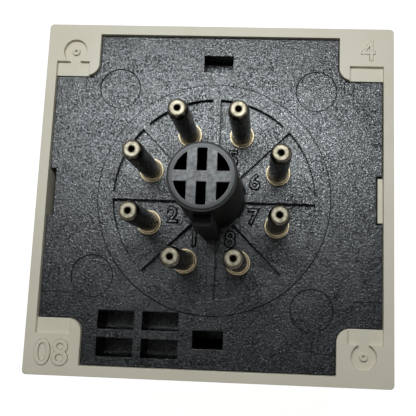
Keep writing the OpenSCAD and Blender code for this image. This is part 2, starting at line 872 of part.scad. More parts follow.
module time_dial() {
    hub_z = panel_seat_z - 0.3;
    rim_r = dial_d / 2;
    groove_r = 0.7;
    skirt_r = 10.4;
    bar_size = [2 * skirt_r - 3, 4.6, dial_t - 0.9];
    profile = [
        [0, dial_z + 0.9], [skirt_r - 1, dial_z + 0.9], [skirt_r, dial_z + 1.2],
        [rim_r - 0.5, dial_z + 1.2], [rim_r, dial_z + 1.6], [rim_r, dial_z + dial_t],
        [dial_hub_d / 2, dial_z + dial_t], [dial_hub_d / 2, hub_z], [0, hub_z]
    ];
    color("#8b8d8c")
        difference() {
            union() {
                rotate_extrude($fn = 96)
                    polygon(profile);
                translate([0, 0, dial_z])
                    linear_extrude(dial_t / 2)
                        rounded_rect([bar_size.x, bar_size.y], 1.2);
            }
            for (i = [0:dial_grooves - 1])
                rotate(i * 360 / dial_grooves)
                    translate([rim_r + groove_r / 2, 0, dial_z - cut])
                        cylinder(r = groove_r, h = dial_t + 1, $fn = 24);
            translate([0, 0, dial_z + 0.8])
                linear_extrude(dial_t + 4)
                    shaft_section(dial_shaft_d + 2 * running_gap);
        }
}

// Round shaft with one flat
module shaft_section(d) {
    intersection() {
        circle(d = d);
        translate([-shaft_flat, 0])
            square(d, center = true);
    }
}

module dial_shaft() {
    shaft_z = dial_z + 0.9;
    round_z = panel_seat_z;
    color("#a9a9a6")
        union() {
            translate([0, 0, shaft_z])
                linear_extrude(round_z - shaft_z + cut)
                    shaft_section(dial_shaft_d);
            translate([0, 0, round_z])
                cylinder(d = dial_shaft_d, h = front_board_z - 0.8 - round_z);
        }
}

// Leads that run from a piece behind the panel through the front board
module front_leads(places) {
    for (p = places)
        translate([p.x, p.y, front_board_z - 0.5])
            cylinder(d = lead_d, h = board_t + front_stub + 0.5, $fn = 16);
}

module shaft_bore(d, z) {
    translate([0, 0, z - cut])
        cylinder(d = d + 2 * running_gap, h = front_board_z - 0.6 - z + cut);
}

module dial_potentiometer() {
    bushing_d = dial_shaft_d + 3;
    color("#3d6fa5")
        difference() {
            union() {
                translate([0, 0, pot_z])
                    linear_extrude(pot_t)
                        rounded_rect(pot_size, 1);
                translate([0, 0, pot_z - 0.5])
                    cylinder(d = bushing_d, h = 1);
                front_leads(pot_leads);
            }
            shaft_bore(dial_shaft_d, pot_z - 1);
        }
}

// Screwdriver selector: slotted head in the panel, shaft in the switch behind it
module selector(at) {
    color("#e6e4dc")
        translate([at.x, at.y, 0])
            difference() {
                union() {
                    translate([0, 0, selector_head_z])
                        cylinder(d = selector_d, h = selector_head_t);
                    translate([0, 0, selector_head_z + selector_head_t - cut])
                        cylinder(d = selector_shaft_d,
                                 h = front_board_z - 0.8 - selector_head_z - selector_head_t + cut);
                }
                translate([0, 0, selector_head_z])
                    cube([selector_d - 1, slot_w, 1.6], center = true);
                translate([selector_d / 2 - 0.9, 0, selector_head_z])
                    cylinder(d = slot_w * 1.5, h = 1.2, center = true, $fn = 24);
            }
}

module selector_switch(at) {
    color("#2f6b57")
        translate([at.x, at.y, 0])
            difference() {
                union() {
                    translate([0, 0, switch_z])
                        linear_extrude(front_board_z - switch_z)
                            rounded_rect(switch_size, 0.6);
                    front_leads(switch_leads);
                }
                shaft_bore(selector_shaft_d, switch_z);
            }
}

module lens(at, shade) {
    color(shade)
        translate([at.x, at.y, 0])
            union() {
                translate([0, 0, panel_depth - 0.1])
                    cylinder(d = lens_d, h = panel_t + 0.1 + cut);
                translate([0, 0, panel_seat_z])
                    cylinder(d = lens_d + 1, h = lens_flange_t);
            }
}

module led(at, shade) {
    dome_z = led_tip_z + led_d / 2;
    color(shade)
        translate([at.x, at.y, 0])
            union() {
                translate([0, 0, dome_z])
                    sphere(d = led_d);
                translate([0, 0, dome_z])
                    cylinder(d = led_d, h = front_board_z - dome_z);
                translate([0, 0, front_board_z - 0.8])
                    cylinder(d = led_d + 0.8, h = 0.8);
                front_leads(led_leads);
            }
}

// Boards

module on_power_board(at) {
    translate([at.x, -board_face_y, at.y])
        rotate([-90, 0, 0])
            children();
}

module on_control_board(at) {
    translate([at.x, board_face_y, at.y])
        rotate([90, 0, 0])
            children();
}

// Leads that run from a component through its board
module leads(places, stand = 0.3) {
    for (p = places)
        translate([p.x, p.y, -board_t - lead_stub])
            cylinder(d = lead_d, h = board_t + lead_stub + stand, $fn = 16);
}

module lead_holes(places) {
    for (p = places)
        translate([p.x, p.y, -board_t - 1])
            cylinder(d = lead_d + 2 * lead_gap, h = board_t + 2, $fn = 16);
}

module front_holes(at, places) {
    for (p = places)
        translate([at.x + p.x, at.y + p.y, front_board_z - 1])
            cylinder(d = lead_d + 2 * lead_gap, h = board_t + 2, $fn = 16);
}

module front_board() {
    color("#2e7d46")
        difference() {
            translate([0, 0, front_board_z])
                linear_extrude(board_t)
                    square(2 * board_half, center = true);
            for (sx = [-1, 1], sy = [-1, 1]) {
                translate([sx * stem_at.x, sy * stem_at.y, front_board_z - 1])
                    cylinder(d = peg_d + 2 * lead_gap, h = board_t + 2);
                translate([sx * tongue_x, sy * long_board_y, front_board_z + board_t / 2])
                    cube([tongue_w + 2 * board_gap, board_t + 2 * board_gap, board_t + 1], center = true);
            }
            front_holes([0, 0], pot_leads);
            for (at = [mode_at, range_at, unit_at])
                front_holes(at, switch_leads);
            for (at = [power_lens_at, output_lens_at])
                front_holes(at, led_leads);
        }
}

module long_board(side) {
    color("#2e7d46")
        difference() {
            translate([0, side * long_board_y, 0])
                rotate([90, 0, 0])
                    linear_extrude(board_t, center = true) {
                        translate([-board_half, long_board_z0])
                            square([2 * board_half, long_board_z1 - long_board_z0]);
                        for (sx = [-1, 1])
                            translate([sx * tongue_x - tongue_w / 2, front_board_z + tongue_in])
                                square([tongue_w, board_t]);
                    }
            for (n = [1:8])
                if (sign(pin_place(n).y) == side)
                    translate([wire_landing(n).x, side * long_board_y, wire_landing(n).z])
                        rotate([90, 0, 0])
                            cylinder(d = wire_d + 2 * lead_gap, h = board_t + 1, center = true);
            children();
        }
}

module control_board() {
    long_board(1) {
        on_control_board(relay_at) lead_holes(relay_leads);
        on_control_board(chip_at) lead_holes(chip_leads);
        on_control_board(timing_cap_at) lead_holes(timing_cap_leads);
        on_control_board(trimmer_at) lead_holes(trimmer_leads);
        on_control_board(transistor_at) lead_holes(transistor_leads);
    }
}

module power_board() {
    long_board(-1) {
        on_power_board(core_at) lead_holes(bobbin_leads);
        on_power_board(main_cap_at) lead_holes(cap_leads);
        on_power_board(small_cap_at) lead_holes(cap_leads);
        on_power_board(film_cap_at) lead_holes(film_cap_leads);
        on_power_board(disc_at) lead_holes(disc_leads);
        on_power_board(bridge_at) lead_holes(bridge_leads);
        on_power_board(resistor_at) lead_holes(resistor_leads);
    }
}

// Components on the control board

module moulded_box(size, r) {
    linear_extrude(size.z)
        rounded_rect([size.x, size.y], r);
}

module output_relay() {
    color("#2a4f9b")
        on_control_board(relay_at) {
            moulded_box(relay_size, 0.8);
            leads(relay_leads);
        }
}

// Legs that leave a moulded body at mid height and turn down into the board
module folded_legs(places, z) {
    for (p = places)
        translate([p.x, 0, 0])
            block([-leg_w / 2, min(0, p.y), z - leg_t / 2], [leg_w / 2, max(0, p.y), z + leg_t / 2]);
    leads(places, z);
}

module timer_chip() {
    stand = 0.5;
    color("#1d1d1f")
        on_control_board(chip_at) {
            difference() {
                translate([0, 0, stand])
                    moulded_box([chip_size.x, chip_size.y, chip_size.z - stand], 0.2);
                translate([-chip_size.x / 2, 0, chip_size.z])
                    cylinder(r = 0.9, h = 1, center = true);
            }
            folded_legs(chip_leads, chip_size.z / 2);
        }
}

module timing_capacitor() {
    color("#c9b23a")
        on_control_board(timing_cap_at) {
            moulded_box(timing_cap_size, 0.5);
            leads(timing_cap_leads);
        }
}

module trim_potentiometer() {
    screw_d = 3;
    color("#2b63b8")
        on_control_board(trimmer_at) {
            difference() {
                moulded_box(trimmer_size, 0.4);
                translate([0, 0, trimmer_size.z - 0.4])
                    cylinder(d = screw_d, h = 1);
            }
            translate([0, 0, trimmer_size.z - 0.5])
                difference() {
                    cylinder(d = screw_d - 0.4, h = 0.5);
                    translate([0, 0, 0.6])
                        cube([screw_d, 0.5, 0.6], center = true);
                }
            leads(trimmer_leads);
        }
}

module driver_transistor() {
    color("#1d1d1f")
        on_control_board(transistor_at) {
            translate([0, 0, transistor_stand])
                linear_extrude(transistor_h)
                    intersection() {
                        circle(d = transistor_d);
                        translate([0, 0.8])
                            square(transistor_d, center = true);
                    }
            leads(transistor_leads, transistor_stand + 0.3);
        }
}

// Components on the power board

module transformer_core() {
    slot_y = (centre_leg + core_size.y - 2 * core_leg) / 4;
    color("#3b3b3e")
        on_power_board(core_at)
            translate([0, 0, core_lift])
                difference() {
                    cube(core_size, center = true);
                    for (side = [-1, 1])
                        translate([0, side * slot_y, 0])
                            cube([core_size.x - 2 * core_leg, window_half - centre_leg / 2, core_size.z + 1],
                                 center = true);
                }
}

module transformer_bobbin() {
    flange_side = 2 * window_half - 2 * bobbin_gap;
    flange_h = coil_h + 2 * coil_reach;
    foot_h = core_lift - coil_h / 2 - bobbin_gap;
    color("#e9e3d2")
        on_power_board(core_at)
            translate([0, 0, core_lift])
                difference() {
                    union() {
                        cube([bobbin_l, bobbin_out, tube_h], center = true);
                        for (side = [-1, 1])
                            translate([side * (bobbin_l - bobbin_wall) / 2, 0, 0])
                                cube([bobbin_wall, flange_side, flange_h], center = true);
                        for (side = [-1, 1])
                            translate([side * (bobbin_l / 2 - bobbin_wall), 0, -core_lift + foot_h / 2])
                                cube([2 * bobbin_wall, flange_side, foot_h], center = true);
                        for (side = [-1, 1])
                            translate([side * (bobbin_l - bobbin_wall) / 2, 0, -core_lift / 2])
                                cube([bobbin_wall, bobbin_out, core_lift], center = true);
                        translate([0, 0, -core_lift])
                            leads(bobbin_leads);
                    }
                    cube([bobbin_l + 1, bobbin_in, core_size.z + 2 * bobbin_gap], center = true);
                }
}

module transformer_winding() {
    coil_l = bobbin_l - 2 * bobbin_wall;
    color("#b8752e")
        on_power_board(core_at)
            translate([0, 0, core_lift])
                rotate([0, 90, 0])
                    linear_extrude(coil_l, center = true)
                        difference() {
                            rounded_rect([coil_h, bobbin_out + 2 * coil_build], 1.4);
                            square([tube_h, bobbin_out], center = true);
                        }
}

// Upright can with a rolled groove near its foot
module can_capacitor(d, h) {
    r = d / 2;
    groove_z = 1.6;
    profile = concat(
        [[0, 0], [r - 0.2, 0], [r, 0.3]],
        [[r, groove_z - 0.5], [r - 0.4, groove_z], [r, groove_z + 0.5]],
        arc([r - 0.6, h - 0.6], 0.6, 0, 90, 4),
        [[0, h]]
    );
    rotate_extrude()
        polygon(profile);
    leads(cap_leads);
}

module main_capacitor() {
    color("#23304a")
        on_power_board(main_cap_at)
            can_capacitor(main_cap_d, main_cap_h);
}

module smoothing_capacitor() {
    color("#23304a")
        on_power_board(small_cap_at)
            can_capacitor(small_cap_d, small_cap_h);
}

module film_capacitor() {
    color("#b8472e")
        on_power_board(film_cap_at) {
            moulded_box(film_cap_size, 0.8);
            leads(film_cap_leads);
        }
}

module surge_suppressor() {
    color("#2d5fb5")
        on_power_board(disc_at) {
            translate([0, disc_t / 2, disc_stand + disc_d / 2])
                rotate([90, 0, 0])
                    cylinder(d = disc_d, h = disc_t);
            leads(disc_leads, disc_stand + disc_d / 2);
        }
}

module bridge_rectifier() {
    color("#1d1d1f")
        on_power_board(bridge_at) {
            moulded_box(bridge_size, 0.3);
            folded_legs(bridge_leads, bridge_size.z / 2);
        }
}

module dropper_resistor() {
    lift = resistor_d / 2 + 0.3;
    color("#7d8f9e")
        on_power_board(resistor_at) {
            translate([0, 0, lift])
                rotate([0, 90, 0])
                    cylinder(d = resistor_d, h = resistor_l, center = true);
            wire([
                [resistor_leads[0].x, 0, -board_t - lead_stub],
                [resistor_leads[0].x, 0, lift],
                [resistor_leads[1].x, 0, lift],
                [resistor_leads[1].x, 0, -board_t - lead_stub]
            ], lead_d, [0, 1, 0]);
        }
}

case();
plug_base();
pin(1);  // pin_1
pin(2);  // pin_2
pin(3);  // pin_3
pin(4);  // pin_4
pin(5);  // pin_5
pin(6);  // pin_6
pin(7);  // pin_7
pin(8);  // pin_8
lead_wires();
front_panel();
time_dial();
dial_shaft();
dial_potentiometer();
selector(mode_at);  // mode_selector
selector(range_at);  // range_selector
selector(unit_at);  // unit_selector
selector_switch(mode_at);  // mode_switch
selector_switch(range_at);  // range_switch
selector_switch(unit_at);  // unit_switch
lens(power_lens_at, "#3fae5a");  // power_lens
lens(output_lens_at, "#e07a28");  // output_lens
led(power_lens_at, "#3fae5a");  // power_led
led(output_lens_at, "#e07a28");  // output_led
front_board();
power_board();
control_board();
output_relay();
timer_chip();
timing_capacitor();
trim_potentiometer();
driver_transistor();
transformer_core();
transformer_bobbin();
transformer_winding();
main_capacitor();
smoothing_capacitor();
film_capacitor();
surge_suppressor();
bridge_rectifier();
dropper_resistor();
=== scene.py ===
"""Looks of the plug-in timer relay: finishes, moulded numerals, printing, light and camera."""
import math

import bpy
from mathutils import Matrix, Vector


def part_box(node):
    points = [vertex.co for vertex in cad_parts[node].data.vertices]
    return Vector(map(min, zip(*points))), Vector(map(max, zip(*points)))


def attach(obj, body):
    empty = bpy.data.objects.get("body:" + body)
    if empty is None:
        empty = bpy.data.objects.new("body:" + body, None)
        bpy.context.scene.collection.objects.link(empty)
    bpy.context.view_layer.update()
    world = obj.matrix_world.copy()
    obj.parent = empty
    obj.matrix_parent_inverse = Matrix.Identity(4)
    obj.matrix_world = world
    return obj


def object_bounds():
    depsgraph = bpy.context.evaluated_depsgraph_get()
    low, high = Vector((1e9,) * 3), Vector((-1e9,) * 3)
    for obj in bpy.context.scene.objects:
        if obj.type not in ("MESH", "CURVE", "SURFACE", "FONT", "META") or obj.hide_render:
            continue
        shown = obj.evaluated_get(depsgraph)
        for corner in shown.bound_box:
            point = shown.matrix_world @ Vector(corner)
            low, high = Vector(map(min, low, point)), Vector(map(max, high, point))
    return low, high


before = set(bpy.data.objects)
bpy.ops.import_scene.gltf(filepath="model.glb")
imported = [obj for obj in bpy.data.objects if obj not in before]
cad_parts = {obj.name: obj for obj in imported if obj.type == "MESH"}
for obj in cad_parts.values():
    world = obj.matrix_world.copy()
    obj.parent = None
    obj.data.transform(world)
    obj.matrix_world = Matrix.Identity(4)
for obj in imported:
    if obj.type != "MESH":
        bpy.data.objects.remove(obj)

MM = 0.001
PIN_STEP = 2 * math.pi / 8
PIN_CIRCLE_R = 17.45 / 2
# The collar stands on the sectors' floor, and the bead on the collar
COLLAR_R = 3.05 / 2
COLLAR_T = 0.42
BEAD_T = 0.36
# Depth of the sectors' floor under the case's rear face
SECTOR_DROP = 1.15
# Inner radius of the ring wall at the post's end
POST_RIM_R = 2.93
# Shallow steps of the plug face: the raised field's edge and the ejector marks
FIELD_R = 14.7
EJECTOR_R = 2.6
EJECTOR_PLACES = [(-12.7, 14.0), (12.7, 14.1), (-14.8, -10.25), (12.55, -13.6)]
cad_low, cad_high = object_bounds()


def srgb(red, green, blue):
    """Linear colour of 8-bit sRGB values."""
    def linear(value):
        share = value / 255
        return share / 12.92 if share <= 0.04045 else ((share + 0.055) / 1.055) ** 2.4
    return (linear(red), linear(green), linear(blue), 1.0)


def grey(value):
    return (value, value, value, 1)


# ---------------------------------------------------------------- finishes

class Finish:
    """A procedural material whose patterns lie in the part's own frame and are sized in millimetres."""

    def __init__(self, name):
        self.material = bpy.data.materials.new(name)
        self.material.use_nodes = True
        self.tree = self.material.node_tree
        self.shader = self.tree.nodes["Principled BSDF"]
        place = self.node("ShaderNodeTexCoord").outputs["Object"]
        self.place = self.vector("SCALE", place, scale=1 / MM)

    def node(self, kind, **values):
        """A new node; a value that is a socket is linked, and any other is set on the input."""
        made = self.tree.nodes.new(kind)
        for name, value in values.items():
            self.put(made.inputs[name.replace("_", " ")], value)
        return made

    def put(self, socket, value):
        if isinstance(value, bpy.types.NodeSocket):
            self.tree.links.new(value, socket)
        else:
            socket.default_value = value

    def vector(self, operation, first, second=None, scale=None):
        made = self.tree.nodes.new("ShaderNodeVectorMath")
        made.operation = operation
        self.put(made.inputs[0], first)
        if second is not None:
            self.put(made.inputs[1], second)
        if scale is not None:
            made.inputs["Scale"].default_value = scale
        return made.outputs["Value" if operation in ("DOT_PRODUCT", "LENGTH") else "Vector"]

    def math(self, operation, first, second=0.0, clamp=False):
        made = self.tree.nodes.new("ShaderNodeMath")
        made.operation = operation
        made.use_clamp = clamp
        self.put(made.inputs[0], first)
        self.put(made.inputs[1], second)
        return made.outputs[0]

    def plus(self, first, second):
        return self.math("ADD", first, second)

    def minus(self, first, second):
        return self.math("SUBTRACT", first, second)

    def times(self, first, second):
        return self.math("MULTIPLY", first, second)

    def larger(self, first, second):
        return self.math("MAXIMUM", first, second)

    def noise(self, size, detail=3.0, roughness=0.55, distortion=0.0, stretch=(1, 1, 1)):
        """Noise whose blotches are about size millimetres across."""
        place = self.vector("MULTIPLY", self.place, tuple(1 / (size * s) for s in stretch))
        made = self.node("ShaderNodeTexNoise", Vector=place, Scale=1.0, Detail=detail,
                         Roughness=roughness, Distortion=distortion)
        return made.outputs["Fac"]

    def cells(self, size):
        """Distance to the nearest of points that lie about size millimetres apart."""
        made = self.node("ShaderNodeTexVoronoi", Vector=self.place, Scale=1 / size, Randomness=1.0)
        return made.outputs["Distance"]

    def wave(self, along, pitch):
        """Ripple from minus one to one, with the pitch in millimetres along one axis."""
        return self.math("SINE", self.times(self.axis(along), 2 * math.pi / pitch))

    def ramp(self, factor, *stops):
        """Value that follows the stops, each a position and a value."""
        made = self.node("ShaderNodeValToRGB", Fac=factor)
        elements = made.color_ramp.elements
        while len(elements) < len(stops):
            elements.new(0.5)
        for element, (position, value) in zip(elements, stops):
            element.position = position
            element.color = grey(value)
        return made.outputs["Color"]

    def blend(self, factor, first, second):
        made = self.tree.nodes.new("ShaderNodeMix")
        made.data_type = "RGBA"
        self.put(made.inputs["Factor"], factor)
        self.put(made.inputs["A"], first)
        self.put(made.inputs["B"], second)
        return made.outputs["Result"]

    def axis(self, name):
        return self.node("ShaderNodeSeparateXYZ", Vector=self.place).outputs[name]

    def from_axis(self, centre=(0, 0)):
        """Distance from an upright line through centre, in millimetres."""
        level_place = self.vector("MULTIPLY", self.place, (1, 1, 0))
        return self.vector("LENGTH", self.vector("SUBTRACT", level_place, (*centre, 0)))

    def from_nearest_pin(self):
        """Distance from the axis of the nearest of the pins, in millimetres."""
        parts = self.node("ShaderNodeSeparateXYZ", Vector=self.place).outputs
        turn = self.math("ARCTAN2", parts["Y"], parts["X"])
        off_pin = self.minus(self.math("FLOORED_MODULO", turn, PIN_STEP), PIN_STEP / 2)
        reach = self.from_axis()
        along = self.minus(self.times(reach, self.math("COSINE", off_pin)), PIN_CIRCLE_R)
        aside = self.times(reach, self.math("SINE", off_pin))
        off = self.node("ShaderNodeCombineXYZ", X=along, Y=aside)
        return self.vector("LENGTH", off.outputs["Vector"])

    def ring_line(self, centre, radius):
        """One along a thin line round centre at that radius."""
        miss = self.math("ABSOLUTE", self.minus(self.from_axis(centre), radius))
        return self.ramp(miss, (0.04, 1.0), (0.11, 0.0))

    def rounded(self, radius):
        """Normal that rounds the edges by radius millimetres."""
        made = self.node("ShaderNodeBevel", Radius=radius * MM)
        made.samples = 4
        return made.outputs["Normal"]

    def level(self):
        """One on faces that lie level, and nought on steep walls."""
        face = self.node("ShaderNodeNewGeometry").outputs["True Normal"]
        up = self.vector("ABSOLUTE", face)
        tilt = self.node("ShaderNodeSeparateXYZ", Vector=up).outputs["Z"]
        return self.ramp(tilt, (0.45, 0.0), (0.9, 1.0))

    def edge_wear(self, normal, least=0.985):
        """One along the rounded edges; nought where the normal turns by less than the least cosine."""
        face = self.node("ShaderNodeNewGeometry").outputs["Normal"]
        turn = self.vector("DOT_PRODUCT", normal, face)
        return self.ramp(turn, (least - 0.185, 1.0), (least, 0.0))

    def bump(self, height, depth, normal):
        """Normal of a relief that is depth millimetres deep."""
        made = self.node("ShaderNodeBump", Height=height, Distance=depth * MM, Normal=normal)
        made.inputs["Strength"].default_value = 1.0
        return made.outputs["Normal"]

    def surface(self, colour, roughness, normal, metallic=0.0, specular=0.5):
        self.put(self.shader.inputs["Base Color"], colour)
        self.put(self.shader.inputs["Roughness"], roughness)
        self.put(self.shader.inputs["Normal"], normal)
        self.put(self.shader.inputs["Metallic"], metallic)
        self.shader.inputs["Specular IOR Level"].default_value = specular
        return self.material


def moulded_plastic(name, colour, tint, worn, grain=0.35, depth=0.004, roughness=(0.35, 0.5),
                    edge=0.12, specular=0.5):
    """Injection moulded plastic: slow changes of shade, a fine eroded grain and softened edges."""
    finish = Finish(name)
    normal = finish.rounded(edge)
    wear = finish.times(finish.edge_wear(normal), finish.noise(1.6, 4))
    shade = finish.ramp(finish.noise(9, 5, 0.6), (0.3, 0.0), (0.7, 1.0))
    body = finish.blend(shade, srgb(*colour), srgb(*tint))
    body = finish.blend(wear, body, srgb(*worn))
    fine = finish.noise(grain, 4, 0.6)
    gloss = finish.ramp(finish.noise(3.5, 4), (0.3, roughness[0]), (0.7, roughness[1]))
    return finish.surface(body, gloss, finish.bump(fine, depth, normal), specular=specular)


def black_tone(finish, coarse, flow, grain, shade):
    """Near black, with pale speckles on the grain's peaks that are partly painted glints, a few specks of
    dust, and painted shade.
    """
    tone = finish.blend(flow, srgb(4, 4, 5), srgb(9, 10, 11))
    # Pale specks on the grain's peaks: partly the grain's own tone, partly painted glints
    peaks = finish.times(finish.ramp(coarse, (0.54, 0.0), (0.62, 1.0)), grain)
    tone = finish.blend(peaks, tone, srgb(82, 87, 93))
    dust = finish.ramp(finish.cells(1.9), (0.018, 1.0), (0.034, 0.0))
    tone = finish.blend(finish.times(dust, 0.6), tone, srgb(176, 178, 178))
    # Painted shade: where the shade mask is one, on walls, step edges and rings, the black turns near black
    return finish.blend(shade, tone, srgb(6, 6, 7))


def black_gloss(finish, coarse, flow, grain, steps):
    """Roughness: shiny peaks and flow marks on the grain, an even post, and dull steps."""
    peaks = finish.ramp(coarse, (0.42, 0.46), (0.57, 0.22))
    gloss = finish.plus(peaks, finish.times(flow, -0.06))
    gloss = finish.blend(grain, grey(0.4), gloss)
    return finish.math("ADD", gloss, finish.times(steps, 0.4), clamp=True)


def black_dullness(finish, coarse, grain, shade, post_dull):
    """Metallic share, which takes the gloss out of black and outlives the export."""
    patches = finish.ramp(finish.noise(4.5, 5, 0.62, 1.8), (0.38, 0.55), (0.62, 1.0))
    pits = finish.ramp(coarse, (0.40, 0.92), (0.60, 0.0))
    dull = finish.times(pits, finish.times(patches, grain))
    dull = finish.larger(dull, finish.times(post_dull, finish.minus(1.0, grain)))
    # The painted shade on walls, step edges and rings loses its gloss here too
    return finish.larger(dull, finish.times(shade, 0.9))


def post_dullness(finish, height, end_z, rim_r):
    """The polished post shines in spots at its end alone, and less so on the rim outside rim_r."""
    lower = finish.ramp(finish.minus(height, end_z - 0.5), (0.0, 0.9), (0.3, 0.0))
    rim = finish.ramp(finish.minus(finish.from_axis(), rim_r), (0.0, 0.0), (0.1, 0.5))
    mottle = finish.ramp(finish.noise(0.4, 4, 0.65), (0.38, 0.5), (0.62, 0.0))
    return finish.larger(finish.larger(rim, lower), mottle)


def eroded_black(name, smooth_z, end_z, rim_r, rings):
    """Black plastic from a spark-eroded mould: a coarse glinting grain with pale speckles partly painted on
    as glints, dull flow marks and dust.

    Steps and walls are painted near black as shade, and so are the rings, each a centre and a radius. The
    post, all of it above smooth_z and up to end_z, comes from a polished part of the mould.
    """
    finish = Finish(name)
    normal = finish.rounded(0.13)
    height = finish.axis("Z")
    grain = finish.ramp(finish.minus(height, smooth_z), (0.0, 1.0), (0.3, 0.0))
    coarse = finish.noise(0.2, 4, 0.66, 0.7)
    pits = finish.ramp(finish.cells(0.28), (0.05, 0.0), (0.62, 1.0))
    relief = finish.plus(finish.times(coarse, 0.8), finish.times(pits, 0.3))
    relief = finish.times(relief, grain)
    flow = finish.ramp(finish.noise(7.5, 5, 0.6, 1.2, stretch=(1.0, 0.7, 1.0)), (0.34, 0.0), (0.68, 1.0))
    # Painted shade: steep walls, the edges of shallow steps and the thin rings are gathered here and painted
    # near black
    steps = finish.times(finish.edge_wear(normal, 0.9985), grain)
    shade = finish.larger(finish.minus(1.0, finish.level()), steps)
    for centre, radius in rings:
        shade = finish.larger(shade, finish.times(finish.ring_line(centre, radius), grain))
    tone = black_tone(finish, coarse, flow, grain, shade)
    gloss = black_gloss(finish, coarse, flow, grain, steps)
    post_dull = post_dullness(finish, height, end_z, rim_r)
    dull = black_dullness(finish, coarse, grain, shade, post_dull)
    finish.shader.inputs["IOR"].default_value = 1.6
    return finish.surface(tone, gloss, finish.bump(relief, 0.05, normal), metallic=dull, specular=0.9)


def pin_root(finish, height, off, root_z):
    """One where the root is bright: the collar's sides, its outer lip and the bead, in brass gold that is
    partly painted highlight.
    """
    bead_end = COLLAR_T + BEAD_T
    root = finish.ramp(finish.minus(height, root_z), (0.0, 1.0), (COLLAR_T - 0.07, 1.0),
                       (COLLAR_T - 0.02, 0.1), (COLLAR_T + 0.1, 0.1), (COLLAR_T + 0.18, 1.0),
                       (bead_end - 0.05, 0.8), (bead_end + 0.05, 0.0))
    outside = finish.ramp(finish.minus(off, COLLAR_R - 0.12), (0.0, 0.0), (0.04, 1.0))
    under = finish.ramp(finish.minus(height, root_z + COLLAR_T + 0.05), (0.0, 1.0), (0.02, 0.0))
    return finish.larger(root, finish.times(outside, under))


def tinned_brass(name, tip_z, root_z):
    """Tinned brass pins: a paler ring on each end, darker towards the hole and the nose's edge, mottled dull
    sides, and collar and bead in brass gold with painted highlights.
    """
    finish = Finish(name)
    normal = finish.rounded(0.2)
    height = finish.axis("Z")
    off = finish.from_nearest_pin()
    tarnish = finish.noise(0.8, 5, 0.65, 0.5, stretch=(1, 1, 2.5))
    side = finish.blend(finish.ramp(tarnish, (0.35, 0.0), (0.62, 1.0)), srgb(108, 104, 94), srgb(46, 44, 40))
    # A paler ring on the pin's flat end, darker towards the hole and towards the nose's rounded edge
    worn = finish.ramp(off, (0.40, 0.25), (0.50, 1.0), (0.70, 1.0), (0.92, 0.1))
    worn = finish.times(worn, finish.ramp(finish.noise(0.45, 3), (0.35, 0.4), (0.6, 1.0)))
    tip = finish.blend(worn, srgb(66, 57, 44), srgb(150, 143, 126))
    end = finish.ramp(finish.minus(height, tip_z - 1), (0.90, 0.0), (0.96, 1.0))
    root = pin_root(finish, height, off, root_z)
    # Brass gold at the root: partly the collar's own colour, partly painted highlight on its sides, lip and
    # bead
    tone = finish.blend(root, finish.blend(end, side, tip), srgb(246, 226, 184))
    scratches = finish.noise(0.16, 4, 0.6, 0.0, stretch=(1, 1, 9))
    gloss = finish.ramp(scratches, (0.3, 0.22), (0.7, 0.38))
    gloss = finish.blend(end, gloss, grey(0.46))
    gloss = finish.blend(root, gloss, grey(0.52))
    return finish.surface(tone, gloss, finish.bump(scratches, 0.003, normal), metallic=1.0)


def clean_metal(name, colour, dull):
    """Drawn or cut metal with fine lines and a little tarnish."""
    finish = Finish(name)
    normal = finish.rounded(0.04)
    tarnish = finish.ramp(finish.noise(1.4, 4), (0.35, 0.0), (0.75, 1.0))
    lines = finish.noise(0.2, 3, 0.5, 0.0, stretch=(1, 1, 8))
    tone = finish.blend(tarnish, srgb(*colour), srgb(*dull))
    gloss = finish.ramp(lines, (0.3, 0.22), (0.7, 0.4))
    return finish.surface(tone, gloss, finish.bump(lines, 0.002, normal), metallic=1.0)


def wound_wire(name, colour, shade_between_turns, pitch, along):
    """Enamelled wire wound in close turns across one axis, with painted shade in the creases between turns.
    """
    finish = Finish(name)
    normal = finish.rounded(0.1)
    turn = finish.plus(finish.times(finish.wave(along, pitch), 0.5), 0.5)
    # Painted shade: the creases between the round turns are painted dark; the same dark colour also comes in
    # faint random blotches
    tone = finish.blend(finish.ramp(turn, (0.0, 0.0), (0.45, 1.0)), srgb(*shade_between_turns), srgb(*colour))
    tone = finish.blend(finish.times(finish.noise(1.2), 0.3), tone, srgb(*shade_between_turns))
    return finish.surface(tone, 0.32, finish.bump(turn, pitch / 3, normal), metallic=0.6)


def lacquered_board(name):
    """Glass laminate under green lacquer, with the weave faintly showing through."""
    finish = Finish(name)
    normal = finish.rounded(0.04)
    threads = finish.times(finish.wave("X", 0.45), finish.wave("Z", 0.45))
    weave = finish.plus(finish.times(threads, 0.5), 0.5)
    tone = finish.blend(weave, srgb(32, 96, 58), srgb(44, 116, 72))
    tone = finish.blend(finish.ramp(finish.noise(5, 4), (0.4, 0.0), (0.7, 0.6)), tone, srgb(28, 82, 50))
    tone = finish.blend(finish.edge_wear(normal), tone, srgb(176, 170, 120))
    gloss = finish.ramp(finish.noise(2), (0.3, 0.22), (0.7, 0.36))
    return finish.surface(tone, gloss, finish.bump(weave, 0.004, normal))


def clear_tint(name, colour):
    """Clear tinted plastic, polished, with faint ripples."""
    finish = Finish(name)
    ripple = finish.noise(1.1, 2)
    normal = finish.bump(ripple, 0.01, finish.rounded(0.08))
    paler = tuple(min(255, value + 22) for value in colour)
    tone = finish.blend(finish.ramp(ripple, (0.3, 0.0), (0.7, 1.0)), srgb(*colour), srgb(*paler))
    material = finish.surface(tone, finish.ramp(ripple, (0.3, 0.06), (0.7, 0.14)), normal)
    finish.shader.inputs["Transmission Weight"].default_value = 0.55
    finish.shader.inputs["IOR"].default_value = 1.49
    return material


